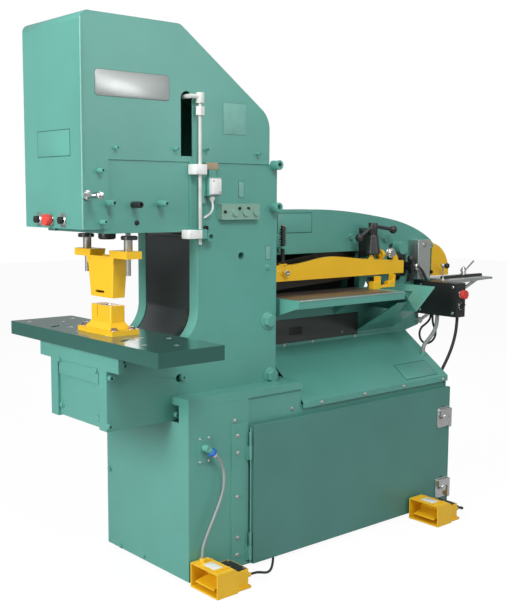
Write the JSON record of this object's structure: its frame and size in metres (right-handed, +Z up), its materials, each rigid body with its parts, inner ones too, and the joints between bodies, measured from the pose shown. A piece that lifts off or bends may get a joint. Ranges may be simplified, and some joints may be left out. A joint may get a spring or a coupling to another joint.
{
  "type": "ironworker machine",
  "caption": "Hydraulic ironworker on a sheet metal cabinet with a punching station, plate and angle shears, a notcher, a control box and foot pedals.",
  "frame": {"origin": "centre of the rectangle of the four floor anchor holes, at floor level", "axes": "+Z up, +X from the punching station to the notcher, -Y towards the door and the operator"},
  "size_m": [2.4335, 0.9885, 1.975],
  "materials": {
    "machine_paint": "satin",
    "yellow_paint": "satin",
    "black_paint": "satin",
    "ground_steel": "satin",
    "bright_steel": "polished",
    "black_plastic": "matte",
    "red_plastic": "gloss",
    "white_plastic": "gloss",
    "cast_block": "satin",
    "cable_rubber": "matte",
    "grey_cable": "matte"
  },
  "bodies": {
    "machine": {"angle_shear_housing": "machine_paint", "angle_trough": "machine_paint", "arm_front_panel": "machine_paint", "bar_stock_guide": "yellow_paint", "base_cabinet": "machine_paint", "base_top_plate": "machine_paint", "box_cable": "cable_rubber", "box_conduit": "grey_cable", "box_loop": "cable_rubber", "cabinet_door": "machine_paint", "control_box": "black_paint", "die_holder": "yellow_paint", "far_side_plate": "machine_paint", "frame_spacers": "ground_steel", "gauge_bar": "black_paint", "head_cover": "machine_paint", "hold_down_bracket": "black_paint", "hydraulic_power_unit": "black_paint", "limit_switches": "white_plastic", "lower_shear_blade": "ground_steel", "near_side_plate": "machine_paint", "notcher_table": "machine_paint", "notching_die": "ground_steel", "pedal_cord_far": "cable_rubber", "pedal_cord_front": "grey_cable", "pedal_cord_rear": "cable_rubber", "pedal_shields": "yellow_paint", "punch_cylinder": "machine_paint", "punch_die": "ground_steel", "punch_table": "machine_paint", "selector_block": "cast_block", "shear_cylinder": "machine_paint", "shear_frame_far": "machine_paint", "shear_frame_near": "machine_paint", "shear_table": "machine_paint", "sloped_hood": "machine_paint", "stripper_shafts": "ground_steel", "throat_liner": "black_paint"},
    "door_latch_upper": {"door_latch_upper": "bright_steel"},
    "door_latch_lower": {"door_latch_lower": "bright_steel"},
    "punch_ram": {"punch_ram": "ground_steel"},
    "coupling_nut": {"coupling_nut": "black_paint"},
    "stripper": {"stripper": "yellow_paint"},
    "stroke_rod": {"stroke_rod": "bright_steel"},
    "head_stop_button": {"head_stop_button": "red_plastic"},
    "head_button_far": {"head_button_far": "black_plastic"},
    "head_button_near": {"head_button_near": "black_plastic"},
    "shear_beam": {"shear_beam": "machine_paint", "upper_shear_blade": "ground_steel", "notching_punch": "ground_steel"},
    "shear_cylinder_rod": {"shear_cylinder_rod": "ground_steel"},
    "notcher_guard": {"notcher_guard": "yellow_paint"},
    "gauge_lever": {"gauge_lever": "bright_steel"},
    "hold_down_bar": {"hold_down_bar": "yellow_paint"},
    "hold_down_screw": {"hold_down_screw": "black_paint"},
    "angle_clamp": {"angle_clamp": "black_paint"},
    "box_stop_button": {"box_stop_button": "red_plastic"},
    "box_selector": {"box_selector": "black_plastic"},
    "front_treadle": {"front_treadle": "yellow_paint"},
    "rear_treadle": {"rear_treadle": "yellow_paint"}
  },
  "joints": [
    {"name": "upper_latch_turn", "type": "hinge", "parent": "machine", "child": "door_latch_upper", "pos_m": [0.674, -0.287, 0.413], "axis": [0, 1, 0], "range_deg": [0, 90]},
    {"name": "lower_latch_turn", "type": "hinge", "parent": "machine", "child": "door_latch_lower", "pos_m": [0.674, -0.287, 0.092], "axis": [0, 1, 0], "range_deg": [0, 90]},
    {"name": "ram_stroke", "type": "slide", "parent": "machine", "child": "punch_ram", "axis": [0, 0, -1], "range_m": [0, 0.055]},
    {"name": "nut_turn", "type": "hinge", "parent": "punch_ram", "child": "coupling_nut", "pos_m": [-0.88, 0, 1.25], "axis": [0, 0, 1], "range_deg": [0, 180]},
    {"name": "stripper_height", "type": "slide", "parent": "machine", "child": "stripper", "axis": [0, 0, 1], "range_m": [-0.02, 0]},
    {"name": "stroke_rod_slide", "type": "slide", "parent": "machine", "child": "stroke_rod", "axis": [0, 0, -1], "range_m": [0, 0.055]},
    {"name": "head_stop_push", "type": "slide", "parent": "machine", "child": "head_stop_button", "axis": [1, 0, 0], "range_m": [0, 0.005], "stiffness_N_per_m": 400},
    {"name": "head_far_push", "type": "slide", "parent": "machine", "child": "head_button_far", "axis": [1, 0, 0], "range_m": [0, 0.005], "stiffness_N_per_m": 400},
    {"name": "head_near_push", "type": "slide", "parent": "machine", "child": "head_button_near", "axis": [1, 0, 0], "range_m": [0, 0.005], "stiffness_N_per_m": 400},
    {"name": "beam_swing", "type": "hinge", "parent": "machine", "child": "shear_beam", "pos_m": [-0.3, 0.034, 1.12], "axis": [0, 1, 0], "range_deg": [0, 3.2]},
    {"name": "shear_rod_slide", "type": "slide", "parent": "machine", "child": "shear_cylinder_rod", "axis": [0, 0, 1], "range_m": [0, 0.0129]},
    {"name": "guard_lift", "type": "hinge", "parent": "machine", "child": "notcher_guard", "pos_m": [0.89, 0, 1.172], "axis": [0, -1, 0], "range_deg": [0, 70]},
    {"name": "gauge_lever_turn", "type": "hinge", "parent": "machine", "child": "gauge_lever", "pos_m": [1.18, 0.0035, 1.01], "axis": [0, 0, 1], "range_deg": [-60, 60]},
    {"name": "hold_down_height", "type": "slide", "parent": "machine", "child": "hold_down_bar", "axis": [0, 0, -1], "range_m": [0, 0.05]},
    {"name": "hold_down_screw_turn", "type": "hinge", "parent": "machine", "child": "hold_down_screw", "pos_m": [0.42, -0.08, 1.24], "axis": [0, 0, 1], "range_deg": [-15, 15]},
    {"name": "angle_clamp_turn", "type": "hinge", "parent": "machine", "child": "angle_clamp", "pos_m": [0.7, -0.05, 1.072], "axis": [0, 1, 0], "range_deg": [0, 30]},
    {"name": "box_stop_push", "type": "slide", "parent": "machine", "child": "box_stop_button", "axis": [0, 1, 0], "range_m": [0, 0.005], "stiffness_N_per_m": 400},
    {"name": "box_selector_turn", "type": "hinge", "parent": "machine", "child": "box_selector", "pos_m": [0.807, -0.2675, 0.898], "axis": [0, 1, 0], "range_deg": [0, 70]},
    {"name": "front_treadle_press", "type": "hinge", "parent": "machine", "child": "front_treadle", "pos_m": [-0.648, -0.352, 0.036], "axis": [0, -1, 0], "range_deg": [0, 8], "stiffness_Nm_per_rad": 3, "springref_deg": -8.59},
    {"name": "rear_treadle_press", "type": "hinge", "parent": "machine", "child": "rear_treadle", "pos_m": [0.518, -0.378, 0.036], "axis": [0, -1, 0], "range_deg": [0, 8], "stiffness_Nm_per_rad": 3, "springref_deg": -8.59}
  ],
  "couplings": [
    {"joint": "stroke_rod_slide", "follows": "ram_stroke", "ratio": 1},
    {"joint": "shear_rod_slide", "follows": "beam_swing", "m_per_rad": 0.22918}
  ]
}
